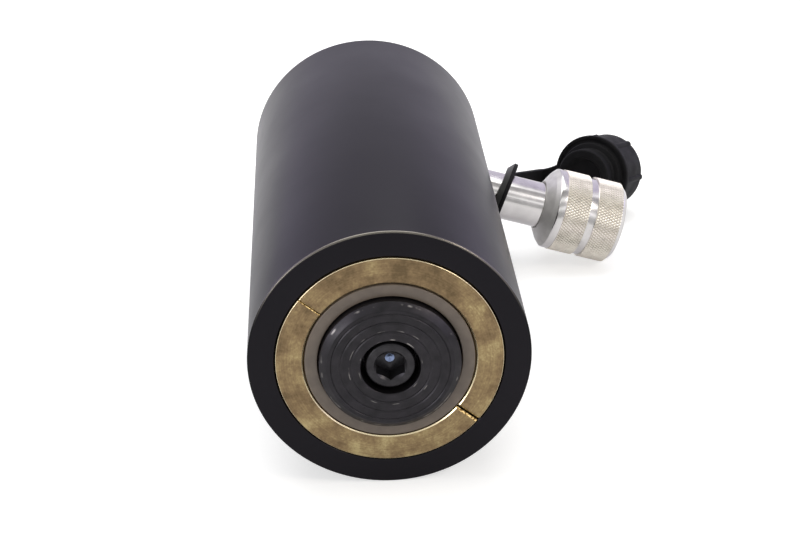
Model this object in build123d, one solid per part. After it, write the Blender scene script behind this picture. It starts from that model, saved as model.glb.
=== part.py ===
from build123d import *
import os
from math import asin, atan2, cos, degrees, hypot, radians, sin, sqrt

# Single-acting hydraulic cylinder that lies on its side and on its coupler.
# The cylinder's axis is Y: the base is at y = 0 and the plunger comes out towards -Y.
# The cylinder is drawn standing, with its base at height 0, and laid down at the end.
# All sizes are millimetres and degrees.

# Cylinder body
body_diameter = 100
body_length = 200
bore_diameter = 75
bottom_thickness = 28
edge_round = 1.2
mouth_chamfer = 0.6

# Plunger and piston: the stroke is the way that the body's length leaves the piston
piston_length = 58.4
piston_shoulder = 7.5
plunger_diameter = bore_diameter - 2 * piston_shoulder
plunger_chamfer = 1.0
piston_side_gap = 0.5
piston_entry_chamfer = 3.0
rest_gap = 0.3
running_gap = 0.05
seat_gap = 0.05
spring_bore_diameter = 42
head_thickness = 55

# Stop ring in two halves, with its lock wire and wiper
ring_seat_step = 2.8
ring_seat_diameter = bore_diameter + 2 * ring_seat_step
ring_depth = 30
ring_proud = 0.5
ring_side_gap = 0.15
ring_edge_chamfer = 0.8
ring_bore_chamfer = 2.0
ring_joint_gap = 0.8
ring_joint_turn = 141
lock_wire_diameter = 4.0
lock_wire_depth = 16
wiper_depth = 4.0
wiper_width = 5.0
wiper_groove_depth = 5.0
wiper_groove_diameter = plunger_diameter + 2 * wiper_groove_depth

# Piston seal and bearing bands
band_thickness = 2.0
rear_band_width = 8
front_band_width = 14
rear_band_offset = 6
front_band_offset = 5
band_cut = 2.0
seal_offset = 21
seal_width = 6.5
seal_thickness = 6.0
backup_ring_width = 2.4

# Saddle and its M12 screw
plunger_rim_width = 4.5
saddle_recess_gap = 0.5
saddle_diameter = plunger_diameter - 2 * plunger_rim_width - 2 * saddle_recess_gap
saddle_recess_depth = 13
saddle_face_rise = 4.7
saddle_edge_drop = 1.9
saddle_edge_width = 3.0
saddle_groove_insets = (11, 7.4, 4.2)
saddle_groove_width = 0.8
saddle_groove_depth = 0.35
saddle_counterbore_diameter = 21
screw_thread_diameter = 12
screw_head_diameter = 18
screw_head_height = 12
screw_head_sunk = 1.5
screw_length = 25
screw_socket_flats = 10
screw_socket_depth = 6
screw_head_chamfer = 0.9
tap_gap = 0.05
tap_runout = 3.0

# Return spring and its anchors
spring_wire_diameter = 4.5
spring_outer_diameter = 34
spring_coils = 19
anchor_flange_diameter = 35
anchor_flange_thickness = 4.5
anchor_spigot_length = 16
anchor_stem_diameter = 16
anchor_stem_length = 12
spring_end_gap = 0.3

# Bolt that holds the lower anchor through the bottom
anchor_bolt_diameter = 10
anchor_bolt_head_diameter = 16
anchor_bolt_head_height = 10
anchor_bolt_socket_flats = 8
anchor_bolt_socket_depth = 5
anchor_bolt_grip = 10
bolt_pocket_diameter = 19
bolt_pocket_depth = 12
bolt_washer_thickness = 1.5

# Base plate, its screws and the mounting holes
plate_rim_width = 8
plate_diameter = body_diameter - 2 * plate_rim_width
plate_thickness = 8
plate_proud = 0.5
plate_side_gap = 0.15
plate_chamfer = 0.8
plate_hole_inset = 9
plate_hole_circle = plate_diameter - 2 * plate_hole_inset
plate_screw_diameter = 6
plate_screw_head_diameter = 12
plate_screw_head_height = 3.3
plate_screw_length = 16
plate_screw_socket_flats = 4
plate_screw_socket_depth = 2.5
plate_screw_sunk = 0.2
plate_screw_turn = 60
mounting_hole_diameter = 8
mounting_hole_depth = 20
mounting_hole_turn = 30
hole_count = 4

# Port and the coupler on it, with stations measured from the cylinder's axis
port_height = 22.5
port_diameter = 16.6
port_inner_end = 26
port_thread_gap = 0.1
spot_face_radius = 14
feed_hole_diameter = 6
feed_hole_radius = 31
neck_diameter = 20.2
neck_step_station = 75.5
neck_step_depth = 0.4
neck_step_width = 1.2
flats_across = 18.6
flats_length = 8
collar_back_station = 79
collar_length = 36
collar_diameter = 36.6
collar_back_wall = 4
collar_bore_gap = 0.3
collar_back_rim_width = 1.0
collar_cone_length = 5.6
collar_cone_drop = 0.9
collar_band_length = 2.4
collar_band_drop = 0.35
knurl_length = 11
collar_groove_width = 3.4
collar_groove_depth = 0.8
collar_end_chamfer = 2.2
collar_wall = 4.1
collar_cavity_diameter = collar_diameter - 2 * collar_wall
collar_thread_step = 0.9
collar_thread_diameter = collar_cavity_diameter - 2 * collar_thread_step
collar_thread_length = 10.8
thread_lead_in = 1.0
shoulder_side_gap = 0.7
shoulder_diameter = collar_cavity_diameter - 2 * shoulder_side_gap
shoulder_gap = 1.0
shoulder_length = 9
coupler_oil_bore = 8
valve_bore_diameter = 15
valve_bore_length = 14
nose_thread_diameter = 19
nose_thread_length = 8
nose_diameter = 22
nose_length = 11
nose_lead_chamfer = 1.0
nose_mouth_diameter = 11
nose_seat_length = 3
nose_land_length = 3
nose_seal_diameter = 1.8
poppet_head_length = 4.5
poppet_side_gap = 0.3
poppet_stem_diameter = 4.4
poppet_recess = 0.4
guide_thickness = 3
guide_slots = 4
guide_slot_diameter = 3
poppet_spring_wire = 1.2
poppet_spring_diameter = 11
poppet_spring_coils = 6

# Dust cap, its strap and the ring round the neck
strap_ring_station = 61.5
strap_ring_thickness = 4
strap_ring_width = 4.5
strap_ring_gap = 1.2
strap_ring_lift = 3
strap_ring_turn = 14
strap_ring_round = 1.6
strap_width = 9
strap_thickness = 2.2
strap_root_reach = 1.7
strap_root_depth = 5
strap_hinge_gap = 0.3
strap_bend_radius = 6
strap_end_height = -6.5
strap_flare_length = 6
strap_flare_rise = 4
cap_x = 106.5
cap_y = 23.0
cap_floor_gap = 0.1
cap_heading = 35
cap_dip = 13.4
cap_flange_overhang = 0.3
cap_flange_diameter = collar_diameter + 2 * cap_flange_overhang
cap_flange_thickness = 2.6
cap_step_inset = 3.6
cap_step_height = 1.5
cap_plug_side_gap = 0.4
cap_plug_length = 9
cap_plug_wall = 3.7
cap_plug_recess_depth = 2
cap_plug_chamfer = 0.8
cap_grip_inset = 1.3
cap_grip_diameter = cap_flange_diameter - 2 * cap_grip_inset
cap_grip_length = 18.4
cap_grip_round = 1.6
cap_rib_count = 6
cap_rib_radius = 1.7
cap_rib_turn = 0
cap_dish_rim = 5.3
cap_dish_depth = 2

# Heights along the cylinder, from the base plate's face
chamber_floor = plate_thickness + bottom_thickness
ring_seat_floor = body_length - ring_depth
ring_face = body_length + ring_proud
piston_rear = chamber_floor + rest_gap
piston_front = piston_rear + piston_length
plunger_front = ring_face
head_inner = plunger_front - head_thickness
saddle_seat = plunger_front - saddle_recess_depth
saddle_face = plunger_front + saddle_face_rise
screw_head_top = saddle_face - screw_head_sunk
screw_head_seat = screw_head_top - screw_head_height
screw_tip = screw_head_seat - screw_length
lock_wire_height = body_length - lock_wire_depth
bolt_pocket_floor = plate_thickness + bolt_pocket_depth
bolt_head_seat = bolt_pocket_floor - bolt_washer_thickness
lower_stem_floor = chamber_floor - anchor_stem_length

# Stations along the coupler, from the cylinder's axis
spot_face_station = sqrt((body_diameter / 2) ** 2 - spot_face_radius ** 2)
collar_end = collar_back_station + collar_length
shoulder_back = collar_back_station + collar_back_wall + shoulder_gap
shoulder_front = shoulder_back + shoulder_length
nose_front = shoulder_front + nose_length
nose_back = shoulder_front - nose_thread_length
valve_bore_back = nose_back - valve_bore_length
seat_back = nose_front - nose_land_length - nose_seat_length
knurl_start = collar_back_station + collar_cone_length + collar_band_length
collar_groove_start = knurl_start + knurl_length
second_knurl_start = collar_groove_start + collar_groove_width
second_knurl_end = collar_end - collar_end_chamfer

# The coupler dips until the collar's front rim rests on the plane that the body lies on.
collar_radius = collar_diameter / 2
coupler_dip = degrees(
    asin(body_diameter / 2 / hypot(second_knurl_end, collar_radius))
    - atan2(collar_radius, second_knurl_end)
)

lying = Plane(origin=(0, 0, 0), x_dir=(1, 0, 0), z_dir=(0, -1, 0)).location
port_direction = Vector(cos(radians(coupler_dip)), -sin(radians(coupler_dip)), 0)
port_place = Plane(origin=(0, 0, port_height), x_dir=(0, 0, -1), z_dir=port_direction).location


def turned(*outline):
    """A solid of revolution about Z from a closed outline of (radius, height) points."""
    wire = Polyline([(radius, 0, height) for radius, height in outline], close=True)
    return revolve(make_face(wire), Axis.Z)


def rod(diameter, low, high):
    """A plain cylinder on Z between two heights."""
    return Pos(0, 0, (low + high) / 2) * Cylinder(diameter / 2, high - low)


def tube(outer, inner, low, high):
    """A plain ring on Z between two heights."""
    return rod(outer, low, high) - rod(inner, low, high)


def cone(low_radius, high_radius, low, high):
    """A cone on Z between two heights."""
    return Pos(0, 0, (low + high) / 2) * Cone(low_radius, high_radius, high - low)


def hexagon(across_flats, low, high):
    """A hexagonal prism on Z between two heights, flat side towards -Y."""
    outline = RegularPolygon(across_flats / sqrt(3), 6)
    return Pos(0, 0, low) * extrude(outline, high - low)


def coil(wire_diameter, outer_diameter, turns, low, high):
    """A coil spring on Z that fills the space between two heights."""
    radius = wire_diameter / 2
    rise = high - low - wire_diameter
    path = Helix(rise / turns, rise, outer_diameter / 2 - radius)
    section = Plane(origin=path @ 0, z_dir=path % 0) * Circle(radius)
    return Pos(0, 0, low + radius) * sweep(section, path, is_frenet=True)


def socket_screw(diameter, length, head_diameter, head_height, flats, depth, chamfer_size):
    """A socket head cap screw: its head sits on height 0 and its tip points down."""
    head_radius = head_diameter / 2
    shank_radius = diameter / 2
    tip_chamfer = diameter / 10
    solid = turned(
        (0, -length),
        (shank_radius - tip_chamfer, -length),
        (shank_radius, tip_chamfer - length),
        (shank_radius, 0),
        (head_radius, 0),
        (head_radius, head_height - chamfer_size),
        (head_radius - chamfer_size, head_height),
        (0, head_height),
    )
    corner_radius = flats / sqrt(3)
    mouth = cone(flats / 2 - chamfer_size / 2, corner_radius, head_height - chamfer_size, head_height)
    return solid - hexagon(flats, head_height - depth, head_height) - mouth


def hole_places(first_turn):
    """The places of four holes on the base plate's circle, counted from the port's direction."""
    turns = [first_turn - coupler_dip + 360 / hole_count * number for number in range(hole_count)]
    return [Rot(0, 0, turn) * Pos(plate_hole_circle / 2, 0, 0) for turn in turns]


def lock_wire_round(extra):
    """The ring of round wire between the stop ring and the body, grown by a gap."""
    return Pos(0, 0, lock_wire_height) * Torus(ring_seat_diameter / 2, lock_wire_diameter / 2 + extra)


def make_cylinder_body():
    """The tube with its closed bottom, ring seat, plate recess, port and screw holes."""
    body = rod(body_diameter, plate_proud, body_length)
    body = fillet(body.edges().filter_by(GeomType.CIRCLE), edge_round)
    body -= rod(bore_diameter, chamber_floor, body_length)
    body -= rod(ring_seat_diameter, ring_seat_floor, body_length)
    seat_radius = ring_seat_diameter / 2
    body -= cone(seat_radius, seat_radius + mouth_chamfer, body_length - mouth_chamfer, body_length)
    body -= lock_wire_round(seat_gap)
    body -= rod(plate_diameter + 2 * plate_side_gap, plate_proud, plate_thickness)
    body -= rod(bolt_pocket_diameter, plate_thickness, bolt_pocket_floor)
    body -= rod(anchor_bolt_diameter + 2 * tap_gap, bolt_pocket_floor, lower_stem_floor)
    body -= rod(anchor_stem_diameter + 2 * tap_gap, lower_stem_floor, chamber_floor)
    screw_hole = rod(plate_screw_diameter + 2 * tap_gap, plate_thickness, plate_screw_length + tap_runout)
    for place in hole_places(plate_screw_turn):
        body -= place * screw_hole
    mounting_hole = rod(mounting_hole_diameter, plate_thickness, mounting_hole_depth)
    for place in hole_places(mounting_hole_turn):
        body -= place * mounting_hole
    body -= port_place * rod(port_diameter, port_inner_end, body_diameter / 2)
    body -= port_place * rod(2 * spot_face_radius, spot_face_station, body_diameter / 2)
    feed = Pos(feed_hole_radius, 0, 0) * rod(feed_hole_diameter, port_height, chamber_floor)
    return body - Rot(0, 0, -coupler_dip) * feed


def make_base_plate():
    """The steel plate that carries the load, a little proud of the body's rear rim."""
    radius = plate_diameter / 2
    plate = turned(
        (0, 0),
        (radius - plate_chamfer, 0),
        (radius, plate_chamfer),
        (radius, plate_thickness),
        (0, plate_thickness),
    )
    sink_top = plate_screw_sunk + plate_screw_head_height
    head_radius = plate_screw_head_diameter / 2 + tap_gap
    screw_hole = rod(plate_screw_diameter + 2 * tap_gap, 0, plate_thickness)
    screw_hole += rod(2 * head_radius, 0, plate_screw_sunk)
    screw_hole += cone(head_radius, plate_screw_diameter / 2 + tap_gap, plate_screw_sunk, sink_top)
    for place in hole_places(plate_screw_turn):
        plate -= place * screw_hole
    for place in hole_places(mounting_hole_turn):
        plate -= place * rod(mounting_hole_diameter, 0, plate_thickness)
    return plate


def make_base_plate_screws():
    """Four countersunk screws with hexagon sockets, just under the plate's face."""
    head_top = plate_screw_sunk + plate_screw_head_height
    shank_radius = plate_screw_diameter / 2
    screw = turned(
        (0, plate_screw_sunk),
        (plate_screw_head_diameter / 2, plate_screw_sunk),
        (shank_radius, head_top),
        (shank_radius, plate_screw_length),
        (0, plate_screw_length),
    )
    socket_end = plate_screw_sunk + plate_screw_socket_depth
    screw -= hexagon(plate_screw_socket_flats, plate_screw_sunk, socket_end)
    return [place * screw for place in hole_places(plate_screw_turn)]


def make_plunger():
    """The rod and its piston in one piece, bored from behind for the return spring."""
    rod_radius = plunger_diameter / 2
    piston_radius = bore_diameter / 2 - piston_side_gap
    plunger = turned(
        (0, piston_rear),
        (piston_radius - piston_entry_chamfer, piston_rear),
        (piston_radius, piston_rear + piston_entry_chamfer),
        (piston_radius, piston_front),
        (rod_radius, piston_front),
        (rod_radius, plunger_front - plunger_chamfer),
        (rod_radius - plunger_chamfer, plunger_front),
        (0, plunger_front),
    )
    plunger -= rod(spring_bore_diameter, piston_rear, head_inner)
    plunger -= rod(saddle_diameter + 2 * saddle_recess_gap, saddle_seat, plunger_front)
    plunger -= rod(screw_thread_diameter + 2 * tap_gap, screw_tip - tap_runout, saddle_seat)
    plunger -= rod(anchor_stem_diameter + 2 * tap_gap, head_inner, head_inner + anchor_stem_length)
    for low, width, thickness in piston_grooves():
        groove_bottom = bore_diameter - 2 * running_gap - 2 * thickness - 2 * seat_gap
        plunger -= tube(bore_diameter, groove_bottom, low, low + width)
    return plunger


def piston_grooves():
    """The low edge, width and depth of each groove on the piston."""
    seal_low = piston_rear + seal_offset
    front_low = piston_front - front_band_offset - front_band_width
    return [
        (piston_rear + rear_band_offset, rear_band_width, band_thickness),
        (seal_low, seal_width + backup_ring_width, seal_thickness),
        (front_low, front_band_width, band_thickness),
    ]


def make_bearing_band(groove):
    """A strip of bearing composite bent into its groove, with a gap between its ends."""
    low, width, thickness = groove
    outer = bore_diameter - 2 * running_gap
    band = tube(outer, outer - 2 * thickness, low + seat_gap, low + width - seat_gap)
    cut = Pos(outer / 2, 0, low + width / 2) * Rot(30, 0, 0) * Box(4 * thickness, band_cut, 3 * width)
    return band - cut


def make_piston_seal():
    """The U-cup, open towards the oil."""
    low = piston_grooves()[1][0] + seat_gap
    high = low + seal_width - 2 * seat_gap
    outer = bore_diameter / 2 - running_gap
    inner = outer - seal_thickness
    middle = (outer + inner) / 2
    lip = seal_thickness / 4
    return turned(
        (inner, low),
        (inner + lip, low),
        (middle, (low + high) / 2),
        (outer - lip, low),
        (outer, low),
        (outer, high),
        (inner, high),
    )


def make_seal_backup_ring():
    """The hard ring that keeps the U-cup out of the gap beside the piston."""
    low = piston_grooves()[1][0] + seal_width
    outer = bore_diameter - 2 * running_gap
    return tube(outer, outer - 2 * seal_thickness, low, low + backup_ring_width - seat_gap)


def make_stop_ring_halves():
    """The bronze ring that guides and stops the plunger, sawn across into two halves."""
    outer = ring_seat_diameter / 2 - ring_side_gap
    inner = plunger_diameter / 2 + running_gap
    ring = turned(
        (inner, ring_seat_floor),
        (outer, ring_seat_floor),
        (outer, ring_face - ring_edge_chamfer),
        (outer - ring_edge_chamfer, ring_face),
        (inner + ring_bore_chamfer, ring_face),
        (inner, ring_face - ring_bore_chamfer / 3),
    )
    ring -= lock_wire_round(seat_gap)
    wiper_high = ring_face - wiper_depth
    ring -= tube(wiper_groove_diameter, plunger_diameter, wiper_high - wiper_width, wiper_high)
    ring -= Pos(0, 0, ring_face) * Rot(0, 0, ring_joint_turn) * Box(
        ring_seat_diameter, ring_joint_gap, 3 * ring_depth
    )
    halves = ring.solids().sort_by(Axis.Y)
    return halves[1], halves[0]


def make_rod_wiper():
    """The scraper ring in the stop ring's bore, with a lip towards the outside."""
    high = ring_face - wiper_depth - seat_gap
    low = high - wiper_width + 2 * seat_gap
    inner = plunger_diameter / 2 + running_gap
    outer = wiper_groove_diameter / 2 - seat_gap
    lip = (outer - inner) / 3
    return turned(
        (inner + lip, low),
        (outer, low),
        (outer, high - lip),
        (inner + lip, high - lip),
        (inner + lip / 2, high),
        (inner, high),
        (inner, high - lip),
    )


def make_saddle():
    """The hardened cap that takes the load, with turned grooves and a deep hole for its screw."""
    radius = saddle_diameter / 2
    saddle = turned(
        (0, saddle_seat),
        (radius, saddle_seat),
        (radius, saddle_face - saddle_edge_drop),
        (radius - saddle_edge_width / 3, saddle_face - saddle_edge_drop / 2),
        (radius - saddle_edge_width, saddle_face),
        (0, saddle_face),
    )
    saddle -= rod(saddle_counterbore_diameter, screw_head_seat, saddle_face)
    saddle -= rod(screw_thread_diameter + 2 * tap_gap, saddle_seat, screw_head_seat)
    for inset in saddle_groove_insets:
        groove_radius = radius - inset
        saddle -= turned(
            (groove_radius, saddle_face - saddle_groove_depth),
            (groove_radius + saddle_groove_width / 2, saddle_face),
            (groove_radius - saddle_groove_width / 2, saddle_face),
        )
    return saddle


def make_saddle_screw():
    """The M12 socket head cap screw."""
    return Pos(0, 0, screw_head_seat) * socket_screw(
        screw_thread_diameter,
        screw_length,
        screw_head_diameter,
        screw_head_height,
        screw_socket_flats,
        screw_socket_depth,
        screw_head_chamfer,
    )


def make_anchor():
    """A spring anchor with its flange on height 0: the stem points down, the spigot up."""
    spigot_diameter = spring_outer_diameter - 2 * spring_wire_diameter - 2 * spring_end_gap
    anchor = rod(anchor_stem_diameter, -anchor_stem_length + seat_gap, 0)
    anchor += rod(anchor_flange_diameter, 0, anchor_flange_thickness)
    return anchor + rod(spigot_diameter, 0, anchor_flange_thickness + anchor_spigot_length)


def make_spring_lower_anchor():
    """The anchor on the chamber's floor, tapped for the bolt from behind."""
    tap_high = bolt_head_seat + anchor_bolt_length() + tap_runout
    tap = rod(anchor_bolt_diameter + 2 * tap_gap, lower_stem_floor, tap_high)
    return Pos(0, 0, chamber_floor) * make_anchor() - tap


def make_spring_upper_anchor():
    """The same anchor upside down, in the plunger's head."""
    return Pos(0, 0, head_inner) * Rot(180, 0, 0) * make_anchor()


def anchor_bolt_length():
    """The bolt reaches through the bottom and by its grip into the anchor."""
    return lower_stem_floor + anchor_bolt_grip - bolt_head_seat


def make_anchor_bolt():
    """The socket screw under the base plate that holds the lower anchor."""
    bolt = socket_screw(
        anchor_bolt_diameter,
        anchor_bolt_length(),
        anchor_bolt_head_diameter,
        anchor_bolt_head_height,
        anchor_bolt_socket_flats,
        anchor_bolt_socket_depth,
        screw_head_chamfer,
    )
    return Pos(0, 0, bolt_head_seat) * Rot(180, 0, 0) * bolt


def make_anchor_bolt_seal():
    """The sealing washer under the bolt's head."""
    inner = anchor_bolt_diameter + 4 * tap_gap
    return tube(bolt_pocket_diameter - 4 * tap_gap, inner, bolt_head_seat, bolt_pocket_floor)


def make_return_spring():
    """The tension spring between the two anchors."""
    low = chamber_floor + anchor_flange_thickness + spring_end_gap
    high = head_inner - anchor_flange_thickness - spring_end_gap
    return coil(spring_wire_diameter, spring_outer_diameter, spring_coils, low, high)


def make_coupler_body():
    """The coupler's neck, with its port thread, wrench flats and the shoulder in the collar."""
    thread_radius = port_diameter / 2 - port_thread_gap
    neck_radius = neck_diameter / 2
    step_radius = neck_radius - neck_step_depth
    body = turned(
        (0, port_inner_end + port_thread_gap),
        (thread_radius, port_inner_end + port_thread_gap),
        (thread_radius, spot_face_station),
        (neck_radius, spot_face_station),
        (neck_radius, neck_step_station),
        (step_radius, neck_step_station + neck_step_depth),
        (step_radius, neck_step_station + neck_step_width),
        (neck_radius, neck_step_station + neck_step_width + neck_step_depth),
        (neck_radius, shoulder_back),
        (shoulder_diameter / 2, shoulder_back),
        (shoulder_diameter / 2, shoulder_front),
        (0, shoulder_front),
    )
    body -= rod(coupler_oil_bore, port_inner_end, valve_bore_back)
    body -= rod(valve_bore_diameter, valve_bore_back, nose_back)
    body -= rod(nose_thread_diameter + 2 * tap_gap, nose_back, shoulder_front)
    slab = Box(neck_diameter, neck_diameter, flats_length)
    for side in (-1, 1):
        offset = side * (flats_across + neck_diameter) / 2
        body -= Pos(offset, 0, spot_face_station + flats_length / 2) * slab
    return body


def make_coupler_nose():
    """The front of the coupler: a screwed-in sleeve with the valve's seat and an O-ring groove."""
    radius = nose_diameter / 2
    nose = turned(
        (0, nose_back),
        (nose_thread_diameter / 2, nose_back),
        (nose_thread_diameter / 2, shoulder_front),
        (radius, shoulder_front),
        (radius, nose_front - nose_lead_chamfer),
        (radius - nose_lead_chamfer, nose_front),
        (0, nose_front),
    )
    seat_front = seat_back + nose_seat_length
    nose -= rod(valve_bore_diameter, nose_back, seat_back)
    nose -= cone(valve_bore_diameter / 2, nose_mouth_diameter / 2, seat_back, seat_front)
    nose -= rod(nose_mouth_diameter, seat_front, nose_front)
    return nose - Pos(0, 0, nose_seal_station()) * Torus(nose_seal_ring(), nose_seal_diameter / 2 + seat_gap)


def nose_seal_station():
    """The O-ring lies in the middle of the nose."""
    return (shoulder_front + nose_front) / 2


def nose_seal_ring():
    """The radius of the O-ring's centre line, so that it stands a little proud."""
    return nose_diameter / 2 - nose_seal_diameter / 3


def make_coupler_nose_seal():
    """The O-ring on the nose."""
    return Pos(0, 0, nose_seal_station()) * Torus(nose_seal_ring(), nose_seal_diameter / 2)


def make_coupler_poppet():
    """The valve: a cone that closes the nose, on a guided stem."""
    gap = poppet_side_gap
    head_radius = valve_bore_diameter / 2 - gap
    tip_radius = nose_mouth_diameter / 2 - gap
    head_front = seat_back - gap
    head_back = head_front - poppet_head_length
    stem_radius = poppet_stem_diameter / 2
    return turned(
        (0, valve_bore_back - guide_thickness),
        (stem_radius, valve_bore_back - guide_thickness),
        (stem_radius, head_back),
        (head_radius, head_back),
        (head_radius, head_front),
        (tip_radius, head_front + nose_seat_length),
        (tip_radius, nose_front - poppet_recess),
        (0, nose_front - poppet_recess),
    )


def make_poppet_guide():
    """The spider that guides the stem and lets the oil past."""
    outer = valve_bore_diameter - 2 * seat_gap
    low = valve_bore_back + seat_gap
    high = low + guide_thickness
    guide = tube(outer, poppet_stem_diameter + 2 * running_gap, low, high)
    slot_circle = (valve_bore_diameter + poppet_stem_diameter) / 4
    for number in range(guide_slots):
        turn = Rot(0, 0, 360 / guide_slots * number)
        guide -= turn * Pos(slot_circle, 0, 0) * rod(guide_slot_diameter, low, high)
    return guide


def make_poppet_spring():
    """The small compression spring behind the poppet."""
    low = valve_bore_back + guide_thickness + 2 * seat_gap
    high = seat_back - poppet_side_gap - poppet_head_length - seat_gap
    return coil(poppet_spring_wire, poppet_spring_diameter, poppet_spring_coils, low, high)


def make_coupler_collar():
    """The knurled sleeve, trapped on the neck by the shoulder inside it."""
    radius = collar_radius
    band_radius = radius - collar_band_drop
    groove_radius = radius - collar_groove_depth
    back_radius = neck_diameter / 2 + collar_bore_gap + collar_back_rim_width
    cone_radius = radius - collar_cone_drop
    collar = turned(
        (0, collar_back_station),
        (back_radius, collar_back_station),
        (cone_radius, collar_back_station + collar_cone_length),
        (band_radius, knurl_start - collar_band_length / 2),
        (band_radius, knurl_start),
        (radius, knurl_start),
        (radius, collar_groove_start),
        (groove_radius, collar_groove_start),
        (groove_radius, second_knurl_start),
        (radius, second_knurl_start),
        (radius, second_knurl_end),
        (radius - collar_end_chamfer, collar_end),
        (0, collar_end),
    )
    thread_start = collar_end - collar_thread_length
    cavity_back = collar_back_station + collar_back_wall
    collar -= rod(neck_diameter + 2 * collar_bore_gap, collar_back_station, cavity_back)
    collar -= rod(collar_cavity_diameter, cavity_back, thread_start)
    collar -= rod(collar_thread_diameter, thread_start, collar_end)
    thread_radius = collar_thread_diameter / 2
    lead = thread_lead_in
    return collar - cone(thread_radius, thread_radius + lead, collar_end - lead, collar_end)


# The cap lies on its grip's lower edge, behind the collar.
# In its own frame Z runs from the plug to the grip, X to the strap and Y upwards.
cap_tilt = radians(cap_dip)
cap_axis = Vector(
    sin(radians(cap_heading)) * cos(cap_tilt),
    cos(radians(cap_heading)) * cos(cap_tilt),
    -sin(cap_tilt),
)
cap_grip_end = cap_flange_thickness + cap_grip_length
round_reach = (cap_grip_end - cap_grip_round) * sin(cap_tilt) + cap_grip_round
cap_reach = (cap_grip_diameter / 2 - cap_grip_round) * cos(cap_tilt) + round_reach
cap_plane = Plane(
    origin=(cap_x, cap_y, cap_floor_gap - body_diameter / 2 + cap_reach),
    x_dir=(-cos(radians(cap_heading)), sin(radians(cap_heading)), 0),
    z_dir=cap_axis,
)

# The strap leaves the ring behind the neck and bends there, on a rounded end.
strap_ring_diameter = neck_diameter + 2 * strap_ring_gap + 2 * strap_ring_width
ring_place = lying * port_place * Pos(0, 0, strap_ring_station) * Rot(strap_ring_lift, -strap_ring_turn, 0)
strap_root = (ring_place * Pos(strap_ring_diameter / 2 + strap_root_reach, 0, 0)).position
strap_start = cap_plane.to_local_coords(strap_root)
strap_slope = (strap_end_height - strap_start.Y) / -strap_start.Z


def make_cap_strap_ring():
    """The ring round the neck, tilted as the strap pulls it, with the strap's root."""
    ring = tube(
        strap_ring_diameter,
        strap_ring_diameter - 2 * strap_ring_width,
        -strap_ring_thickness / 2,
        strap_ring_thickness / 2,
    )
    outer_edges = ring.edges().filter_by(GeomType.CIRCLE).sort_by(SortBy.RADIUS)[-2:]
    ring = ring_place * fillet(outer_edges, strap_ring_round)
    upwards = cap_plane.y_dir
    inwards = ring_place.position - strap_root
    inwards = inwards - upwards * inwards.dot(upwards)
    root_place = Plane(origin=strap_root, x_dir=inwards, z_dir=upwards).location
    near_end = strap_thickness / 2 + strap_hinge_gap
    root = Pos((near_end + strap_root_depth) / 2, 0, 0) * Box(
        strap_root_depth - near_end, strap_thickness, strap_width
    )
    return ring + root_place * root


def make_cap_strap():
    """The flat strap between the ring and the cap, in the cap's frame."""
    middle = cap_flange_thickness / 2
    corner = cap_flange_diameter / 2 + strap_bend_radius
    line = FilletPolyline(
        (strap_start.X, strap_start.Z),
        (corner, middle),
        (cap_flange_diameter / 2 - strap_thickness, middle),
        radius=strap_bend_radius,
    )
    band = trace(line, strap_thickness)
    band += Pos(strap_start.X, strap_start.Z) * Circle(strap_thickness / 2)
    strap = extrude(Plane.XZ * band, 2 * strap_width, both=True)
    bend_start = -strap_bend_radius - strap_flare_length / 2
    bend_middle = strap_end_height + strap_slope * bend_start
    half = strap_width / 2
    flare = half + strap_flare_rise
    low_end = strap_start.Z - strap_thickness
    high_end = cap_flange_thickness
    start_middle = strap_end_height + strap_slope * low_end
    side = make_face(
        Plane.YZ
        * Polyline(
            (start_middle - half, low_end),
            (bend_middle - half, bend_start),
            (strap_end_height - flare, high_end),
            (strap_end_height + flare, high_end),
            (bend_middle + half, bend_start),
            (start_middle + half, low_end),
            close=True,
        )
    )
    bends = side.vertices().filter_by_position(
        Axis.Z, bend_start - strap_thickness, bend_start + strap_thickness
    )
    side = fillet(bends, strap_flare_length)
    strap = strap & extrude(side, 3 * cap_flange_diameter, both=True)
    strap -= rod(cap_flange_diameter, -cap_flange_diameter, cap_flange_diameter)
    return strap


def make_dust_cap():
    """The cap: a plug for the collar's mouth, a flange and a ribbed grip."""
    plug_radius = collar_thread_diameter / 2 - cap_plug_side_gap
    flange_radius = cap_flange_diameter / 2
    grip_radius = cap_grip_diameter / 2
    step_radius = flange_radius - cap_step_inset
    dish_radius = grip_radius - cap_dish_rim
    recess_radius = plug_radius - cap_plug_wall
    grip = turned((0, 0), (grip_radius, 0), (grip_radius, cap_grip_end), (0, cap_grip_end))
    for number in range(cap_rib_count):
        turn = Rot(0, 0, cap_rib_turn + 360 / cap_rib_count * number)
        grip += turn * Pos(grip_radius - cap_rib_radius / 2, 0, 0) * rod(2 * cap_rib_radius, 0, cap_grip_end)
    grip -= rod(2 * dish_radius, cap_grip_end - cap_dish_depth, cap_grip_end)
    rim = grip.faces().filter_by(Plane.XY).sort_by(Axis.Z)[-1].outer_wire().edges()
    grip = fillet(rim, cap_grip_round)
    cap = grip + turned(
        (0, -cap_plug_length),
        (plug_radius - cap_plug_chamfer, -cap_plug_length),
        (plug_radius, cap_plug_chamfer - cap_plug_length),
        (plug_radius, -cap_step_height),
        (step_radius, -cap_step_height),
        (step_radius, 0),
        (flange_radius, 0),
        (flange_radius, cap_flange_thickness),
        (0, cap_flange_thickness),
    )
    return cap - rod(2 * recess_radius, -cap_plug_length, cap_plug_recess_depth - cap_plug_length)


upper_half, lower_half = make_stop_ring_halves()
rear_groove, seal_groove, front_groove = piston_grooves()

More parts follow.
